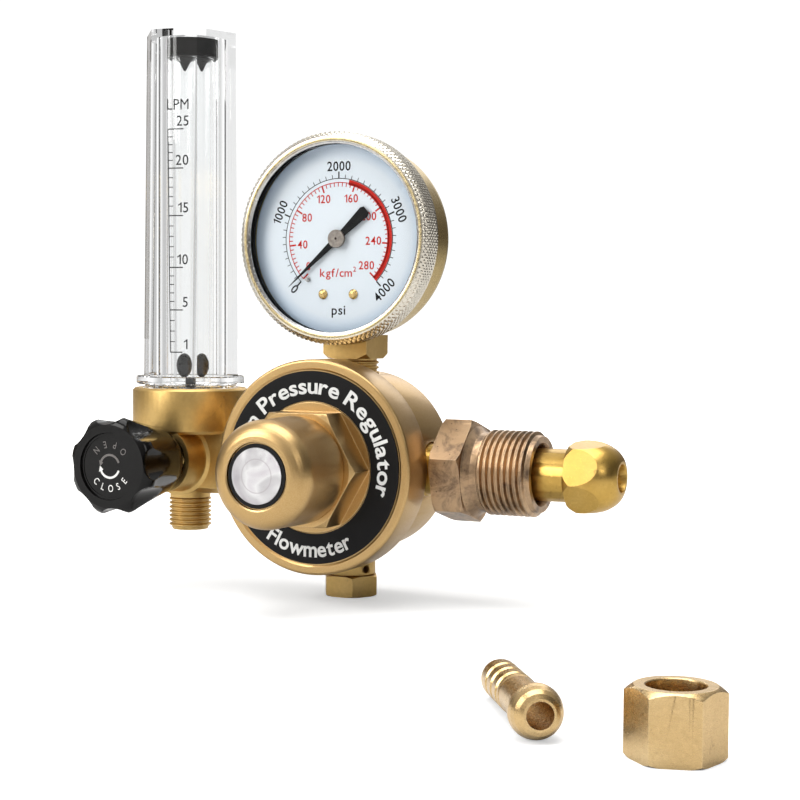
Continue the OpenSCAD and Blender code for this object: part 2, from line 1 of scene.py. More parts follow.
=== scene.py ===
"""An argon pressure regulator with a pressure gauge and a flowmeter.

Metres, +Z up, standing on the floor at z = 0. The faces of the gauge and the bonnet look
along -Y, both centred on x = 0. The flowmeter tube stands upright at x = FLOW_X.
Drawn dimensions are in millimetres and are scaled by MM where vertices are made.
"""
import math
from functools import cache

import bpy
from mathutils import Matrix, Vector


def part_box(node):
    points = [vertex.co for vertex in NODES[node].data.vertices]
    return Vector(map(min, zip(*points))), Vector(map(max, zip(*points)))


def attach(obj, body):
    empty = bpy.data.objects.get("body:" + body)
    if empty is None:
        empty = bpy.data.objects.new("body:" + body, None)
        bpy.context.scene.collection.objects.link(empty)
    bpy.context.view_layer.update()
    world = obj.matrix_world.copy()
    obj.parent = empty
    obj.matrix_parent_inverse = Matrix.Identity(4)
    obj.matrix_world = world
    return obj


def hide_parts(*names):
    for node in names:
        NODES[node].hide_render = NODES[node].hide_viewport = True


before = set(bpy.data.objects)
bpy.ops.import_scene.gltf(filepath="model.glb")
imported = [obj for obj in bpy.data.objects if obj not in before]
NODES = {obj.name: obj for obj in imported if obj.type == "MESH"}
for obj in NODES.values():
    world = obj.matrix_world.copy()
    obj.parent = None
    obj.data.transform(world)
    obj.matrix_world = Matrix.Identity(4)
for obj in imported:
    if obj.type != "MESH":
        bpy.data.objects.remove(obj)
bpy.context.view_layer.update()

MM = 0.001
SCENE = bpy.context.scene


def middle(name):
    low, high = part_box(name)
    return (low + high) / 2


def front(name):
    """The y of a node's front, its -Y limit."""
    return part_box(name)[0].y


BONNET_Z = middle("bonnet").z
GAUGE_Z = middle("gauge_bezel").z
FLOW_X = middle("tube_cover").x

CAMERA_AZIMUTH = math.radians(25.59)    # from -Y towards +X
TO_CAMERA = (math.sin(CAMERA_AZIMUTH), -math.cos(CAMERA_AZIMUTH), 0.0)


def link_object(name, data):
    obj = bpy.data.objects.new(name, data)
    SCENE.collection.objects.link(obj)
    return obj


# ---------------------------------------------------------------- shader helpers
class Shader:
    """Builds the node tree of a material or a world. Values may be numbers or sockets."""

    def __init__(self, owner):
        owner.use_nodes = True
        self.tree = owner.node_tree

    def feed(self, socket, value):
        if isinstance(value, bpy.types.NodeSocket):
            self.tree.links.new(value, socket)
            return
        if socket.type == "RGBA" and len(value) == 3:
            value = (*value, 1)
        socket.default_value = value

    def node(self, kind, inputs=None, **settings):
        """Add a node, its inputs given by name or index, and return its outputs."""
        node = self.tree.nodes.new("ShaderNode" + kind)
        for key, value in settings.items():
            setattr(node, key, value)
        for key, value in (inputs or {}).items():
            self.feed(node.inputs[key], value)
        return node.outputs

    def noise(self, vector, scale, detail=4, rough=0.6, distortion=0):
        return self.node("TexNoise", {"Vector": vector, "Scale": scale, "Detail": detail,
                                      "Roughness": rough, "Distortion": distortion})["Fac"]

    def voronoi(self, vector, scale):
        return self.node("TexVoronoi", {"Vector": vector, "Scale": scale})["Distance"]

    def ramp(self, value, stops):
        """Colour from `value`, through stops of (position, RGB)."""
        node = self.tree.nodes.new("ShaderNodeValToRGB")
        elements = node.color_ramp.elements
        while len(elements) > 1:
            elements.remove(elements[-1])
        elements[0].position = stops[0][0]
        elements[0].color = (*stops[0][1], 1)
        for position, color in stops[1:]:
            elements.new(position).color = (*color, 1)
        self.feed(node.inputs["Fac"], value)
        return node.outputs["Color"]

    def remap(self, value, source, target):
        """Map the range `source` onto the range `target`, clamped."""
        return self.node("MapRange", {
            "Value": value, "From Min": source[0], "From Max": source[1],
            "To Min": target[0], "To Max": target[1]})["Result"]

    def math(self, operation, a, b=0):
        return self.node("Math", {0: a, 1: b}, operation=operation)[0]

    def mul(self, a, b):
        return self.math("MULTIPLY", a, b)

    def hypot(self, a, b):
        return self.math("SQRT", self.math("ADD", self.mul(a, a), self.mul(b, b)))

    def dot(self, a, b):
        return self.node("VectorMath", {0: a, 1: b}, operation="DOT_PRODUCT")["Value"]

    def mix(self, factor, a, b):
        """Blend colour `a` towards colour `b`."""
        return self.node("Mix", {0: factor, 6: a, 7: b}, data_type="RGBA")[2]

    def mix_shader(self, factor, a, b):
        return self.node("MixShader", {0: factor, 1: a, 2: b})[0]


class Material(Shader):
    def __init__(self, name):
        self.material = bpy.data.materials.new(name)
        super().__init__(self.material)
        self.principled = self.tree.nodes["Principled BSDF"]
        self.coord = self.node("TexCoord")["Object"]

    def set(self, **inputs):
        """Set inputs of the Principled shader, with underscores for spaces."""
        for name, value in inputs.items():
            self.feed(self.principled.inputs[name.replace("_", " ")], value)

    def surface(self, shader):
        self.feed(self.tree.nodes["Material Output"].inputs["Surface"], shader)

    def mapping(self, scale=(1, 1, 1)):
        return self.node("Mapping", {"Vector": self.coord, "Scale": scale})["Vector"]

    def bump(self, height, strength, distance, normal=None):
        inputs = {"Strength": strength, "Distance": distance, "Height": height}
        if normal is not None:
            inputs["Normal"] = normal
        return self.node("Bump", inputs)["Normal"]

    def edge(self, radius=0.0004):
        """0 on faces, 1 along edges: the mask for a painted edge highlight."""
        rounded = self.node("Bevel", {"Radius": radius}, samples=4)["Normal"]
        facing = self.dot(rounded, self.node("NewGeometry")["Normal"])
        return self.remap(facing, (0.90, 0.985), (1, 0))

    def radius(self, axis_z):
        """Distance from the axis that runs along Y at x = 0 and the height `axis_z`."""
        xyz = self.node("SeparateXYZ", {0: self.coord})
        return self.hypot(xyz["X"], self.math("SUBTRACT", xyz["Z"], axis_z))


# ---------------------------------------------------------------- materials
def brass(name, base, dark, light, rough, grain=None, stain=0.0,
          stain_col=(0.25, 0.17, 0.10), lines=0.25, tint=None):
    """Bare metal: uneven tone, machining lines, tarnish and a painted highlight that lightens
    its edges.

    `grain` is the noise scale along x, y, z that draws the lines, `lines` their depth,
    `stain` the amount of tarnish.
    """
    def blend(a, b, share):
        return tuple(p + (q - p) * share for p, q in zip(a, b))

    m = Material(name)
    place = m.mapping()
    fine = m.noise(place, scale=900)
    color = m.ramp(m.noise(place, scale=55, detail=3, rough=0.5), [
        (0.30, blend(base, dark, 0.55)), (0.52, base), (0.75, blend(base, light, 0.30))])
    color = m.mix(m.remap(fine, (0.3, 0.7), (0, 0.35)), color, tuple(c * 0.72 for c in base))
    if tint:
        patches = m.noise(place, scale=28, detail=2, rough=0.5)
        color = m.mix(m.remap(patches, (0.45, 0.65), (0, 0.6)), color, tint)
    if stain > 0:
        cloud = m.noise(place, scale=130, detail=6, rough=0.72, distortion=0.6)
        limits = (0.66 - 0.09 * stain, 0.74 - 0.05 * stain)
        color = m.mix(m.remap(cloud, limits, (0, 0.75)), color, stain_col)
        spots = m.voronoi(place, scale=420)
        color = m.mix(m.remap(spots, (0.05, 0.12), (0.35 * stain, 0)), color, stain_col)
    # Painted highlight: the colour is lightened along every edge
    color = m.mix(m.mul(m.edge(), 0.35), color, light)
    marks = m.noise(m.mapping(grain or (1, 1, 1)), scale=14 if grain else 900, detail=5)
    mottle = m.math("ADD", m.mul(marks, 0.6), m.mul(fine, 0.4))
    line_bump = m.bump(marks, strength=lines, distance=0.00003)
    m.set(Metallic=1.0, Base_Color=color, Roughness=m.remap(mottle, (0.3, 0.7), rough),
          Normal=m.bump(fine, strength=0.10, distance=0.00002, normal=line_bump))
    return m.material


def satin_gold():
    """Metallic paint with flakes and a slight orange peel."""
    m = Material("satin_gold_paint")
    place = m.mapping()
    flake = m.voronoi(place, scale=5200)
    broad = m.noise(place, scale=32, detail=2, rough=0.5)
    peel = m.noise(place, scale=520, detail=2, rough=0.5)
    color = m.ramp(broad, [(0.3, (0.46, 0.295, 0.118)), (0.7, (0.52, 0.342, 0.145))])
    color = m.mix(m.remap(flake, (0.15, 0.6), (0.28, 0)), color, (0.80, 0.60, 0.33))
    # Painted highlight: a paler gold along the edges
    color = m.mix(m.mul(m.edge(radius=0.0005), 0.45), color, (0.86, 0.66, 0.38))
    grain = m.math("ADD", flake, m.mul(broad, 0.3))
    peel_bump = m.bump(peel, strength=0.06, distance=0.00004)
    m.set(Metallic=1.0, Base_Color=color, Roughness=m.remap(grain, (0.1, 0.9), (0.27, 0.37)),
          Normal=m.bump(flake, strength=0.05, distance=0.00001, normal=peel_bump),
          Coat_Weight=0.06, Coat_Roughness=0.16)
    return m.material


def plastic(name, color, rough, bump=0.05, scale=600, specular=0.5):
    """Moulded plastic or rubber; `scale` and `bump` are the size and depth of its grain."""
    m = Material(name)
    place = m.mapping()
    grain = m.noise(place, scale)
    broad = m.noise(place, scale=60, detail=2, rough=0.5)
    tones = [(0.3, tuple(c * 0.8 for c in color)), (0.7, tuple(min(1, c * 1.25) for c in color))]
    m.set(Specular_IOR_Level=specular, Coat_Weight=0, Coat_Roughness=0.06,
          Base_Color=m.ramp(broad, tones), Roughness=m.remap(grain, (0.3, 0.7), rough),
          Normal=m.bump(grain, strength=bump, distance=0.00003))
    return m.material


def clear_plastic():
    """Clear moulding: refracts, but lets shadow rays through so what it covers is lit."""
    polish = 0.004
    m = Material("clear_plastic")
    m.set(Roughness=polish, IOR=1.49, Base_Color=(0.985, 0.99, 0.99), Transmission_Weight=1.0)
    waves = m.noise(m.mapping(scale=(1, 1, 0.12)), scale=160, detail=2, rough=0.5)
    haze = m.noise(m.mapping(), scale=700, detail=3)
    m.set(Normal=m.bump(waves, strength=0.05, distance=0.00012),
          Roughness=m.remap(haze, (0.55, 0.8), (polish, polish + 0.03)))
    shadow = m.node("LightPath")["Is Shadow Ray"]
    tinted = m.node("BsdfTransparent", {"Color": (0.88, 0.88, 0.88)})[0]
    m.surface(m.mix_shader(shadow, m.principled.outputs[0], tinted))
    return m.material


def ink(name, color):
    m = Material(name)
    grain = m.noise(m.mapping(), scale=1500, detail=3)
    paler = tuple(min(1, c * 1.2 + 0.02) for c in color)
    m.set(Specular_IOR_Level=0.12, Roughness=0.45,
          Base_Color=m.mix(m.remap(grain, (0.4, 0.8), (0, 0.10)), color, paler),
          Normal=m.bump(grain, strength=0.03, distance=0.00001))
    return m.material


def dial_enamel():
    """Pale blue-white enamel, with painted shade that darkens it towards the rim under the bezel
    wall.
    """
    m = Material("dial_enamel")
    # Painted shade: the outer stops darken the enamel next to the bezel wall
    color = m.ramp(m.remap(m.radius(GAUGE_Z), (0, 0.028), (0, 1)), [
        (0.0, (0.83, 0.87, 0.91)), (0.82, (0.80, 0.85, 0.905)),
        (0.93, (0.62, 0.72, 0.84)), (1.0, (0.50, 0.62, 0.77))])
    grain = m.noise(m.mapping(), scale=900, detail=3)
    color = m.mix(m.remap(grain, (0.35, 0.75), (0, 0.06)), color, (0.70, 0.76, 0.84))
    m.set(Base_Color=color, Roughness=m.remap(grain, (0.3, 0.7), (0.35, 0.5)),
          Normal=m.bump(grain, strength=0.03, distance=0.00001))
    return m.material


def silver_foil():
    """Swirled foil with a darker ring round the bonnet axis."""
    ring_radius, ring_half_width = 0.0046, 0.00025
    m = Material("silver_foil")
    swirl = m.noise(m.mapping(), scale=85, detail=2, rough=0.45, distortion=1.2)
    fine = m.noise(m.mapping(scale=(14, 1, 1)), scale=700)
    color = m.ramp(swirl, [(0.30, (0.44, 0.42, 0.45)), (0.46, (0.58, 0.575, 0.59)),
                           (0.56, (0.74, 0.74, 0.75)), (0.72, (0.56, 0.53, 0.57))])
    off_ring = m.math("ABSOLUTE", m.math("SUBTRACT", m.radius(BONNET_Z), ring_radius))
    ring = m.remap(off_ring, (0, ring_half_width), (0.65, 0))
    relief = m.math("ADD", m.mul(swirl, 0.4), ring)
    m.set(Metallic=1.0, Base_Color=m.mix(ring, color, (0.40, 0.36, 0.39)),
          Roughness=m.remap(fine, (0.3, 0.7), (0.26, 0.42)),
          Normal=m.bump(relief, strength=0.22, distance=0.0001))
    return m.material


def lens_glass():
    """Flat clear lens: no refraction, a faint surface reflection and smudges."""
    m = Material("clear_lens")
    smudge = m.remap(m.noise(m.mapping(), scale=120), (0.3, 0.7), (0.02, 0.07))
    glossy = m.node("BsdfGlossy", {"Roughness": smudge, "Color": (0.9, 0.93, 1)})[0]
    through = m.node("BsdfTransparent", {"Color": (0.975, 0.985, 0.99)})[0]
    fresnel = m.node("Fresnel", {"IOR": 1.4})[0]
    not_shadow = m.math("SUBTRACT", 1.0, m.node("LightPath")["Is Shadow Ray"])
    m.surface(m.mix_shader(m.mul(m.mul(fresnel, 0.35), not_shadow), through, glossy))
    return m.material


def pointer_finish():
    """Black needle, grey metal hub, dark pin in its middle."""
    m = Material("pointer_finish")
    radius = m.radius(GAUGE_Z)
    grain = m.noise(m.mapping(), scale=900, detail=3)
    hub = m.remap(radius, (0.00262, 0.00270), (1, 0))
    pin = m.remap(radius, (0.00030, 0.00045), (1, 0))
    grey = m.ramp(grain, [(0.35, (0.17, 0.145, 0.125)), (0.65, (0.30, 0.26, 0.23))])
    color = m.mix(hub, (0.008, 0.008, 0.008), grey)
    m.set(Specular_IOR_Level=0.10, Base_Color=m.mix(pin, color, (0.02, 0.015, 0.012)),
          Metallic=m.mul(hub, 0.85), Roughness=m.remap(grain, (0.3, 0.7), (0.36, 0.5)),
          Normal=m.bump(grain, strength=0.05, distance=0.00002))
    return m.material


def bezel_plating():
    """Silver inner lip, gold front band, nickel outside."""
    m = Material("bezel_plating")
    radius = m.radius(GAUGE_Z)
    place = m.mapping()
    broad = m.noise(place, scale=60, detail=3, rough=0.5)
    fine = m.noise(place, scale=1200)
    nickel = m.ramp(broad, [(0.3, (0.60, 0.56, 0.48)), (0.7, (0.76, 0.72, 0.635))])
    nickel = m.mix(m.remap(fine, (0.35, 0.7), (0, 0.35)), nickel, (0.48, 0.44, 0.36))
    gold = m.ramp(broad, [(0.3, (0.46, 0.37, 0.20)), (0.7, (0.62, 0.52, 0.31))])
    silver = m.ramp(fine, [(0.3, (0.42, 0.41, 0.40)), (0.7, (0.60, 0.60, 0.59))])
    color = m.mix(m.remap(radius, (0.02905, 0.02920), (0, 1)), gold, nickel)
    color = m.mix(m.remap(radius, (0.02810, 0.02825), (1, 0)), color, silver)
    m.set(Metallic=1.0, Base_Color=color, Roughness=m.remap(fine, (0.3, 0.7), (0.17, 0.30)),
          Normal=m.bump(fine, strength=0.08, distance=0.00002))
    return m.material


# Noise scales for machining lines stacked along one axis
X_LINES = (2600, 30, 30)
Y_LINES = (30, 2600, 30)
Z_LINES = (30, 30, 2600)
# Base, dark and light tones
YELLOW = (0.62, 0.415, 0.150), (0.48, 0.30, 0.085), (0.86, 0.65, 0.32)

FINISH = {
    "gold": satin_gold(),
    "brass_z": brass("machined_brass_z", *YELLOW, rough=(0.33, 0.48), grain=Z_LINES,
                     stain=0.35, lines=0.16),
    "brass_y": brass("machined_brass_y", *YELLOW, rough=(0.16, 0.34), grain=Y_LINES,
                     stain=0.2, lines=0.22),
    "brass_x": brass("machined_brass_x", base=(0.54, 0.34, 0.085), dark=(0.40, 0.235, 0.05),
                     light=(0.74, 0.52, 0.20), rough=(0.24, 0.38), grain=X_LINES,
                     stain=0.45, stain_col=(0.12, 0.07, 0.03), lines=0.2),
    "brass_in": brass("brass_inner", *YELLOW, rough=(0.2, 0.4)),
    "raw": brass("raw_pink_brass", base=(0.47, 0.315, 0.185), dark=(0.35, 0.22, 0.12),
                 light=(0.72, 0.55, 0.38), rough=(0.28, 0.44), grain=X_LINES, stain=2.3,
                 stain_col=(0.10, 0.07, 0.055), lines=0.42, tint=(0.55, 0.385, 0.235)),
    "case": brass("olive_case", base=(0.40, 0.29, 0.105), dark=(0.31, 0.22, 0.07),
                  light=(0.58, 0.45, 0.22), rough=(0.22, 0.34), grain=Y_LINES, lines=0.12),
    # A spare finish, worn by no piece
    "nickel": brass("nickel_plate", base=(0.80, 0.765, 0.68), dark=(0.66, 0.60, 0.50),
                    light=(0.95, 0.93, 0.88), rough=(0.14, 0.26), grain=Y_LINES, lines=0.06),
    "steel": brass("plain_steel", base=(0.46, 0.45, 0.44), dark=(0.34, 0.33, 0.32),
                   light=(0.7, 0.7, 0.7), rough=(0.2, 0.36), grain=Y_LINES,
                   stain=0.2, stain_col=(0.2, 0.17, 0.14)),
    "spring": brass("spring_steel", base=(0.36, 0.37, 0.38), dark=(0.26, 0.26, 0.27),
                    light=(0.6, 0.6, 0.6), rough=(0.2, 0.4)),
    "loose": brass("loose_brass", base=(0.66, 0.46, 0.22), dark=(0.54, 0.36, 0.15),
                   light=(0.92, 0.74, 0.44), rough=(0.20, 0.34), grain=Z_LINES,
                   stain=0.5, stain_col=(0.16, 0.09, 0.035), lines=0.3),
    "black": plastic("gloss_black_plastic", (0.003, 0.0028, 0.0028), rough=(0.09, 0.16),
                     specular=0.22),
    "float": plastic("float_black", (0.003, 0.003, 0.003), rough=(0.2, 0.3), bump=0.04,
                     specular=0.06),
    "rubber": plastic("black_rubber", (0.006, 0.006, 0.006), rough=(0.35, 0.55), bump=0.12,
                      scale=900, specular=0.07),
    "label": plastic("label_black", (0.006, 0.006, 0.0065), rough=(0.40, 0.52), bump=0.04,
                     scale=1400, specular=0.16),
    "ptfe": plastic("ptfe_white", (0.75, 0.74, 0.70), rough=(0.35, 0.5), bump=0.1, scale=700),
    "dial": dial_enamel(),
    "silver": silver_foil(),
    "clear": clear_plastic(),
    "lens": lens_glass(),
    "filter": brass("sintered_bronze", base=(0.30, 0.20, 0.10), dark=(0.2, 0.13, 0.06),
                    light=(0.45, 0.33, 0.2), rough=(0.4, 0.6)),
    "bezel": bezel_plating(),
    "ink_grey": ink("ink_grey", (0.16, 0.15, 0.145)),
    "ink_black": ink("ink_black", (0.012, 0.012, 0.014)),
    "ink_red": ink("ink_red", (0.62, 0.018, 0.010)),
    "ink_white": ink("ink_white", (0.80, 0.80, 0.78)),
    "pointer": pointer_finish(),
}

# Finish: the CAD nodes that wear it
WEARERS = {
    "gold": "regulator_body bonnet nose_cap",
    "label": "bonnet_label nose_label_ring",
    "silver": "nose_label",
    "steel": "adjusting_screw spring_button slip_ring valve_poppet gauge_link stop_pin "
             "valve_stem knob_screw",
    "spring": "main_spring poppet_spring relief_spring",
    "brass_in": "diaphragm_plate valve_nozzle pointer_shaft hairspring sector_gear "
                "movement_plates bourdon_tube relief_poppet",
    "rubber": "diaphragm lens_gasket relief_seal top_stopper bottom_seat cover_o_ring "
              "tube_o_ring",
    "brass_x": "inlet_nipple connector",
    "brass_y": "rear_plug dial_screws gland_nut",
    "brass_z": "gauge_socket relief_body relief_cap flow_body",
    "filter": "inlet_filter",
    "raw": "inlet_nut",
    "case": "gauge_case",
    "bezel": "gauge_bezel",
    "lens": "gauge_lens",
    "dial": "gauge_dial",
    "pointer": "gauge_pointer",
    "clear": "tube_cover metering_tube",
    "float": "float_ball",
    "ptfe": "stem_packing",
    "black": "flow_knob knob_cap",
    "loose": "hose_nut hose_barb",
}
FINISH_OF = {node: finish for finish, nodes in WEARERS.items() for node in nodes.split()}

# CAD nodes with softened edges: bevel width in mm
BEVEL_WIDTHS = {
    "bonnet": 0.22, "regulator_body": 0.25, "inlet_nut": 0.16, "inlet_nipple": 0.12,
    "connector": 0.15, "gauge_socket": 0.18, "relief_body": 0.12, "relief_cap": 0.18,
    "flow_knob": 0.5, "flow_body": 0.22, "gland_nut": 0.15, "hose_nut": 0.15,
    "rear_plug": 0.12,
}


def dress_nodes():
    for name, obj in NODES.items():
        obj.data.materials.clear()
        obj.data.materials.append(FINISH[FINISH_OF[name]])
    for name, width in BEVEL_WIDTHS.items():
        weld = NODES[name].modifiers.new("weld", "WELD")
        weld.merge_threshold = 2e-6
        bevel = NODES[name].modifiers.new("bevel", "BEVEL")
        bevel.width = width * MM
        bevel.segments = 2
        bevel.limit_method = "ANGLE"
        bevel.angle_limit = math.radians(34)
        bevel.harden_normals = True
        bevel.use_clamp_overlap = True


dress_nodes()


# ---------------------------------------------------------------- knurled bezel
def piece(name, body, verts, faces, finish, smooth_angle=None):
    """A mesh object that rides on `body`; edges sharper than `smooth_angle` stay sharp."""
    mesh = bpy.data.meshes.new(name)
    mesh.from_pydata(verts, [], faces)
    mesh.update()
    mesh.validate()
    obj = link_object(name, mesh)
    mesh.materials.append(FINISH[finish])
    if smooth_angle:
        mesh.shade_smooth()
        mesh.set_sharp_from_angle(angle=math.radians(smooth_angle))
    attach(obj, body)
    return obj


def knurled_bezel():
    """A ring round the gauge axis, cut with a diamond knurl on its side and front slant."""
    knurls, steps_per_knurl = 122, 7
    knurl_length, knurl_depth = 1.62, 0.30
    side_radius, side_back, side_front = 31.0, 7.0, 12.7
    side_steps, slant_steps = 22, 7
    slant_in, slant_forward = 1.45, 1.15
    # Section points: radius, distance forward (-Y) of y = 0
    back = [(28.95, 13.3), (28.95, 6.6), (30.6, 6.6)]
    side = [(side_radius, side_back + (side_front - side_back) * i / side_steps)
            for i in range(side_steps + 1)]
    slant = [(side_radius - slant_in * i / slant_steps,
              side_front + slant_forward * i / slant_steps)
             for i in range(1, slant_steps + 1)]
    lip = [(29.48, 14.05), (29.3, 14.1), (28.3, 14.1), (28.0, 14.02), (27.85, 13.8),
           (27.6, 13.75), (27.4, 13.6), (27.4, 13.3), back[0]]
    knurled = side + slant
    section = back + knurled + lip

    def zigzag(turns):
        return 1 - abs((turns % 1.0) * 2 - 1)

    # Length along the section from the start of the knurl
    lengths = [0.0]
    for before, after in zip(knurled, knurled[1:]):
        lengths.append(lengths[-1] + math.dist(after, before))

    around, count = knurls * steps_per_knurl, len(section)
    verts, faces = [], []
    for j in range(around):
        angle = 2 * math.pi * j / around
        turn = j / steps_per_knurl
        for k, (radius, forward) in enumerate(section):
            step = k - len(back)
            if 0 <= step < len(knurled):
                along = lengths[step] / knurl_length
                groove = min(zigzag(turn + along), zigzag(turn - along))
                fade = min(1.0, step / 2.0)
                radius -= knurl_depth * (1 - min(1.0, groove * 1.8)) * fade
            verts.append((radius * math.cos(angle) * MM, -forward * MM,
                          GAUGE_Z + radius * math.sin(angle) * MM))
    for j in range(around):
        here, there = j * count, (j + 1) % around * count
        for k in range(count - 1):
            faces.append((here + k, here + k + 1, there + k + 1, there + k))
    bezel = piece("bezel_knurled", "root", verts, faces, "bezel", smooth_angle=40)
    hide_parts("gauge_bezel")


knurled_bezel()


# ---------------------------------------------------------------- lettering
@cache
def glyph(char, bold):
    """Vertices, faces, left and right limits of one letter, in font units."""
    curve = bpy.data.curves.new("g", "FONT")
    curve.body = char
    curve.size = 1.0
    curve.resolution_u = 4
    curve.offset = bold
    curve.fill_mode = "FRONT"
    obj = link_object("g", curve)
    bpy.context.view_layer.update()
    depsgraph = bpy.context.evaluated_depsgraph_get()
    mesh = bpy.data.meshes.new_from_object(obj.evaluated_get(depsgraph))
    verts = [(v.co.x, v.co.y) for v in mesh.vertices]
    faces = [tuple(p.vertices) for p in mesh.polygons]
    bpy.data.objects.remove(obj)
    bpy.data.curves.remove(curve)
    bpy.data.meshes.remove(mesh)
    if char == "1":
        # A figure one drawn as a stem and a flag, without a foot
        top = max(y for x, y in verts)
        left = 0.26 * top
        stem = 0.145 * top + bold * 1.5
        verts = [(left, 0), (left + stem, 0), (left + stem, top), (left + stem * 0.35, top),
                 (left, 0.80 * top), (0.0, 0.66 * top), (0.0, 0.79 * top),
                 (0.16 * top, 0.87 * top)]
        faces = [(0, 1, 2, 3, 4), (4, 3, 7, 6, 5)]
    xs = [x for x, y in verts]
    return verts, faces, min(xs), max(xs)


@cache
def cap_height():
    return max(y for x, y in glyph("H", 0.0)[0])


def polar(radius, degrees):
    angle = math.radians(degrees)
    return radius * math.cos(angle), radius * math.sin(angle)


class Print:
    """Flat polygons collected in the plane of a face, in mm. Angles are in degrees."""

    def __init__(self):
        self.verts, self.faces = [], []

    def poly(self, points):
        start = len(self.verts)
        self.verts += points
        self.faces.append(tuple(range(start, start + len(points))))

    def line(self, a, b, width):
        dx, dy = b[0] - a[0], b[1] - a[1]
        length = math.hypot(dx, dy)
        nx, ny = -dy / length * width / 2, dx / length * width / 2
        self.poly([(a[0] + nx, a[1] + ny), (a[0] - nx, a[1] - ny),
                   (b[0] - nx, b[1] - ny), (b[0] + nx, b[1] + ny)])

    def tick(self, angle, start, end, width):
        """A radial line between two radii."""
        self.line(polar(start, angle), polar(end, angle), width)

    def arc(self, inner, outer, start, end, steps):
        for i in range(steps):
            a, b = (start + (end - start) * k / steps for k in (i, i + 1))
            quad = [polar(inner, a), polar(outer, a), polar(outer, b), polar(inner, b)]
            self.poly(quad if end > start else quad[::-1])

    def put(self, char, height, x, y, turn, bold, stretch):
        """One letter centred on x, y."""
        verts, faces, left, right = glyph(char, bold)
        scale = height / cap_height()
        cos, sin = polar(1, turn)
        start = len(self.verts)
        for gx, gy in verts:
            gx = (gx - (left + right) / 2) * scale * stretch
            gy = (gy - cap_height() / 2) * scale
            self.verts.append((x + gx * cos - gy * sin, y + gx * sin + gy * cos))
        self.faces += [tuple(start + i for i in face) for face in faces]

    def layout(self, text, height, bold, stretch, gap=None):
        """(letter, centre) along a line for each letter, and the whole width."""
        gap = height * 0.16 if gap is None else gap
        scale = height / cap_height()
        letters, x = [], 0.0
        for char in text:
            if char == " ":
                x += height * 0.42 * stretch
                continue
            _, _, left, right = glyph(char, bold)
            width = (right - left) * scale * stretch
            letters.append((char, x + width / 2))
            x += width + gap
        return letters, x - gap

    def text(self, text, height, x, y, turn=0.0, bold=0.0, stretch=1.0, gap=None, align=0.5):
        """A straight line of text; `align` is 0.5 for centred on x, 1 for ending at x."""
        letters, width = self.layout(text, height, bold, stretch, gap)
        cos, sin = polar(1, turn)
        for char, centre in letters:
            along = centre - width * align
            self.put(char, height, x + along * cos, y + along * sin, turn, bold, stretch)

    def ring(self, text, height, radius, first, last, stretch, upright=90, bold=0.022):
        """Text round a circle, from the first letter's angle to the last one's.

        `upright` is 90 for letters with their tops outward, -90 for tops inward.
        """
        letters, _ = self.layout(text, height, bold, stretch)
        start, end = letters[0][1], letters[-1][1]
        for char, centre in letters:
            angle = first + (last - first) * (centre - start) / (end - start)
            self.put(char, height, *polar(radius, angle), angle - upright, bold, stretch)

    def make(self, name, body, place, finish):
        """`place` maps a point in mm on the face to x, y, z in metres."""
        piece(name, body, [place(u, v) for u, v in self.verts], self.faces, finish)


def upright_face(x, y, z):
    """A face looking along -Y, with its origin at x, y, z."""
    return lambda u, v: (x + u * MM, y, z + v * MM)


PRINT_LIFT = 0.00003


def bonnet_print():
    art = Print()
    art.ring("Pressure Regulator", 4.35, 23.45, first=131.6, last=-14.6, stretch=1.2)
    art.ring("Argon", 4.35, 23.45, first=178.0, last=146.4, stretch=1.12)
    art.ring("Flowmeter", 4.3, 23.45, first=238.0, last=299.0, stretch=1.0, upright=-90)
    face = upright_face(0, front("bonnet_label") - PRINT_LIFT, BONNET_Z)
    art.make("bonnet_print", "root", face, "ink_white")


DIAL_START, DIAL_END = 225, -45
FULL_PSI, FULL_KGF = 4000.0, 281.2


def dial_angle(value, full):
    return DIAL_START - (DIAL_START - DIAL_END) * value / full


def dial_print_black():
    """Outer scale, a tick every 100 psi."""
    art = Print()
    art.arc(17.50, 17.72, DIAL_START, DIAL_END, steps=120)
    for i in range(41):
        end, width = (19.6, 0.44) if i % 10 == 0 else (18.75, 0.21)
        art.tick(dial_angle(i * 100, FULL_PSI), 17.6, end, width)
    # psi, radius, turn of the text
    for psi, radius, turn in ((0, 20.7, 135), (1000, 21.2, 67.5), (2000, 21.2, 0),
                              (3000, 21.2, -67.5), (4000, 21.2, 45)):
        art.text(str(psi), 2.65, *polar(radius, dial_angle(psi, FULL_PSI)), turn,
                 bold=0.014, stretch=0.94, gap=0.30)
    art.text("psi", 2.7, x=0.1, y=-20.8, bold=0.010, stretch=1.05)
    face = upright_face(0, front("gauge_dial") - PRINT_LIFT, GAUGE_Z)
    art.make("dial_print_black", "root", face, "ink_black")


def dial_print_red():
    """Inner scale, a tick every 5 kgf/cm2, and a broad band over its upper end."""
    art = Print()
    art.arc(16.30, 16.54, DIAL_START, DIAL_END, steps=120)
    art.arc(15.9, 17.45, dial_angle(2170, FULL_PSI), DIAL_END, steps=70)
    for i in range(57):
        end, width = (14.3, 0.48) if i % 8 == 0 else (15.25, 0.27)
        art.tick(dial_angle(i * 5, FULL_KGF), 16.4, end, width)
    # kgf/cm2, x, y
    for value, x, y in ((0, -10.0, -7.9), (40, -12.0, -1.5), (80, -10.5, 6.4),
                        (120, -5.0, 11.7), (160, 4.1, 11.7), (200, 9.8, 6.4),
                        (240, 11.4, -0.7), (280, 9.2, -7.8)):
        art.text(str(value), 2.3, x, y, bold=0.012, stretch=0.94, gap=0.30)
    art.text("kgf/cm", 2.35, x=-0.8, y=-9.9, bold=0.008, stretch=1.06, gap=0.26)
    art.text("2", 1.4, x=5.35, y=-8.9, bold=0.006)
    face = upright_face(0, front("gauge_dial") - 0.00005, GAUGE_Z)
    art.make("dial_print_red", "root", face, "ink_red")


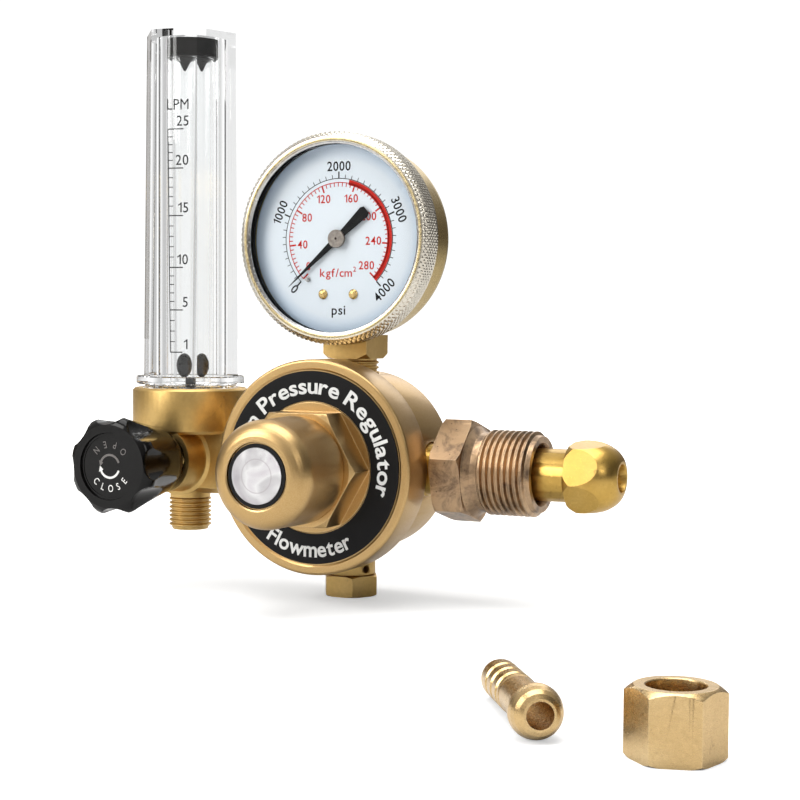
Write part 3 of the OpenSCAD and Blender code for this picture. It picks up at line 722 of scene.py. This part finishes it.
def knob_prints():
    """CLOSE and OPEN round the knob cap, each with a curved arrow."""
    cap_inset = 0.0002      # the printed face lies this far behind the cap's front
    centre = middle("knob_cap")
    face = upright_face(centre.x, front("knob_cap") + cap_inset - PRINT_LIFT, centre.z)
    # Angles: first letter, step per letter, arrow's head end, tail end and tip
    for word, first, step, head, tail, tip, finish in (
            ("CLOSE", 224, 24.5, 205, 340, 178, "ink_white"),
            ("OPEN", 43, 31.0, 155, 20, 182, "ink_grey")):
        art = Print()
        for i, char in enumerate(word):
            angle = first + step * i
            art.put(char, 2.0, *polar(6.45, angle), turn=angle + 90, bold=0.004, stretch=0.8)
        art.arc(3.0, 3.65, head, tail, steps=24)
        arrow = [polar(2.5, head), polar(4.15, head), polar(3.4, tip)]
        art.poly(arrow[::-1] if tail > head else arrow)
        art.make("knob_print_" + word.lower(), "knob_body", face, finish)


def flow_scale_print():
    """Litres-per-minute scale up a flat of the cover; heights are above the bonnet axis."""
    # The flat faces -Y, turned a little to +X
    flat_angle = -80.4
    # The six-sided cover's corner-to-corner width tapers over this height
    bottom_width, top_width, bottom_height, taper_height = 31.8, 29.8, 24.5, 105.9
    lift = 0.00004
    # LPM, height
    marks = [(1, 32.1), (5, 45.0), (10, 57.95), (15, 73.7), (20, 88.1), (25, 99.95)]
    low, high = marks[0][1], marks[-1][1]
    mark_end, text_end = 3.2, 4.85
    normal_x, normal_y = polar(1, flat_angle)

    def on_cover(u, v):
        width = bottom_width + (top_width - bottom_width) * (v - bottom_height) / taper_height
        out = width / 2 * math.cos(math.pi / 6) * MM + lift
        return (FLOW_X + normal_x * out - normal_y * u * MM,
                normal_y * out + normal_x * u * MM, BONNET_Z + v * MM)

    def left_edge(height):
        return -0.78 - 1.13 * (height - low) / 67.9

    art = Print()
    art.line((left_edge(low), low), (left_edge(high), high), width=0.3)
    for k, (value, height) in enumerate(marks):
        art.line((left_edge(height), height), (mark_end, height), width=0.34)
        art.text(str(value), 3.0, text_end, height + 2.45, bold=0.004, stretch=0.95,
                 gap=0.45, align=1)
        if k:
            last_value, last_height = marks[k - 1]
            for minor in range(last_value + 1, value):
                share = (minor - last_value) / (value - last_value)
                y = last_height + (height - last_height) * share
                art.line((left_edge(y), y), (left_edge(y) + 1.5, y), width=0.26)
    art.text("LPM", 3.2, text_end, 107.4, stretch=0.9, gap=0.42, align=1)
    art.make("flow_scale_print", "root", on_cover, "ink_black")


bonnet_print()
dial_print_black()
dial_print_red()
knob_prints()
flow_scale_print()

# ---------------------------------------------------------------- floor and world
# Seen through clear parts, the surroundings are white straight behind the object and
# grey to the sides: the cosine off the view direction is mapped to brightness.
VIEW_COSINE = (0.40, 0.90)
THROUGH_GLOW = (0.58, 1.1)


def floor_paper():
    """Pale paper that glows to camera rays, more so away from the object."""
    m = Material("floor_paper")
    tone = m.noise(m.mapping(), scale=6, detail=3, rough=0.5)
    m.set(Base_Color=m.ramp(tone, [(0.3, (0.80, 0.795, 0.785)), (0.7, (0.83, 0.825, 0.82))]),
          Roughness=0.8, Specular_IOR_Level=0.1)
    xyz = m.node("SeparateXYZ", {0: m.coord})
    away = m.remap(m.hypot(xyz["X"], xyz["Y"]), (0.12, 0.60), (0.42, 1))
    facing = m.dot(m.node("NewGeometry")["Incoming"], TO_CAMERA)
    rays = m.node("LightPath")
    refracted = rays["Is Transmission Ray"]
    side = m.remap(facing, VIEW_COSINE, (0.45, 1))
    seen = m.math("MAXIMUM", rays["Is Camera Ray"], m.mul(refracted, side))
    glow = m.node("Emission", {"Color": (1, 0.995, 0.985), "Strength": m.mul(away, seen)})[0]
    paper = m.node("AddShader", {0: m.principled.outputs[0], 1: glow})[0]
    through_glow = m.remap(facing, VIEW_COSINE, THROUGH_GLOW)
    through = m.node("Emission", {"Strength": through_glow})[0]
    m.surface(m.mix_shader(refracted, paper, through))
    return m.material


def build_floor():
    half = 6.0
    paper = floor_paper()
    mesh = bpy.data.meshes.new("floor")
    mesh.from_pydata([(-half, -half, 0), (half, -half, 0), (half, half, 0), (-half, half, 0)],
                     [], [(0, 1, 2, 3)])
    mesh.update()
    floor = link_object("floor", mesh)
    mesh.materials.append(paper)


def build_world():
    """A soft room that lights the object, and a white backdrop for what is seen."""
    world = bpy.data.worlds.new("studio")
    SCENE.world = world
    s = Shader(world)
    s.tree.nodes.clear()
    direction = s.node("TexCoord")["Generated"]
    xyz = s.node("SeparateXYZ", {0: direction})
    rays = s.node("LightPath")
    camera, refracted = rays["Is Camera Ray"], rays["Is Transmission Ray"]
    color = s.ramp(xyz["Z"], [(0.0, (0.30, 0.27, 0.24)), (0.12, (0.34, 0.31, 0.28)),
                              (0.30, (0.60, 0.58, 0.56)), (0.55, (0.95, 0.94, 0.93)),
                              (1.0, (1.0, 1.0, 1.0))])
    # The room is darker to the right (+X)
    strength = s.mul(s.remap(xyz["X"], (0.15, 0.85), (1, 0.22)), 0.72)
    room = s.node("Background", {"Color": color, "Strength": strength})[0]
    behind = s.dot(direction, tuple(-c for c in TO_CAMERA))
    through_glow = s.remap(behind, VIEW_COSINE, THROUGH_GLOW)
    glow = s.math("MAXIMUM", s.mul(camera, 1.1), through_glow)
    backdrop = s.node("Background", {"Color": (1, 1, 1), "Strength": glow})[0]
    mixed = s.mix_shader(s.math("MAXIMUM", camera, refracted), room, backdrop)
    s.node("OutputWorld", {"Surface": mixed})


build_floor()
build_world()


# ---------------------------------------------------------------- lights and camera
def area_light(name, place, target, size, power, color=(1, 1, 1), size_y=None):
    light = bpy.data.lights.new(name, "AREA")
    light.energy = power
    light.color = color
    light.shape = "RECTANGLE" if size_y else "SQUARE"
    light.size = size
    if size_y:
        light.size_y = size_y
    obj = link_object(name, light)
    obj.location = place
    aim = Vector(target) - Vector(place)
    obj.rotation_euler = aim.to_track_quat("-Z", "Y").to_euler()


area_light("key_left", (-0.55, -0.75, 0.55), target=(0, 0, 0.07), size=0.45, size_y=0.7,
           power=6.4, color=(1, 0.99, 0.97))
area_light("fill_right", (0.85, -0.75, 0.60), target=(0, 0, 0.06), size=0.22, size_y=0.5,
           power=1.3, color=(1, 0.985, 0.96))
area_light("top", (0.0, -0.1, 1.0), target=(0, 0, 0.05), size=0.8, power=7.5)
area_light("rear", (-0.2, 0.9, 0.6), target=(0, 0, 0.08), size=0.6, power=1.6)


def build_camera():
    elevation, roll = math.radians(2.66), math.radians(0.41)
    distance, shift_right, shift_up = 0.49867, 0.01436, 0.01847
    camera = bpy.data.cameras.new("cam")
    obj = link_object("cam", camera)
    SCENE.camera = obj
    flat = math.cos(elevation)
    back = Vector((TO_CAMERA[0] * flat, TO_CAMERA[1] * flat, math.sin(elevation)))
    right = Vector((math.cos(CAMERA_AZIMUTH), math.sin(CAMERA_AZIMUTH), 0))
    up = back.cross(right)
    place = Vector((0, 0, BONNET_Z)) + back * distance + right * shift_right + up * shift_up
    rolled_right = right * math.cos(roll) + up * math.sin(roll)
    rolled_up = up * math.cos(roll) - right * math.sin(roll)
    turn = Matrix((rolled_right, rolled_up, back)).transposed().to_4x4()
    obj.matrix_world = Matrix.Translation(place) @ turn
    camera.sensor_width = 36.0
    camera.lens = 74.8647
    camera.clip_start = 0.01
    camera.clip_end = 50


build_camera()

SCENE.view_settings.view_transform = "Standard"
SCENE.view_settings.look = "None"
SCENE.view_settings.exposure = 0.0
# Guards against a Blender without Cycles
try:
    SCENE.cycles.use_denoising = True
    SCENE.cycles.max_bounces = 16
    SCENE.cycles.transmission_bounces = 14
    SCENE.cycles.transparent_max_bounces = 16
    SCENE.cycles.glossy_bounces = 6
    SCENE.cycles.caustics_refractive = False
    SCENE.cycles.caustics_reflective = False
except AttributeError:
    pass
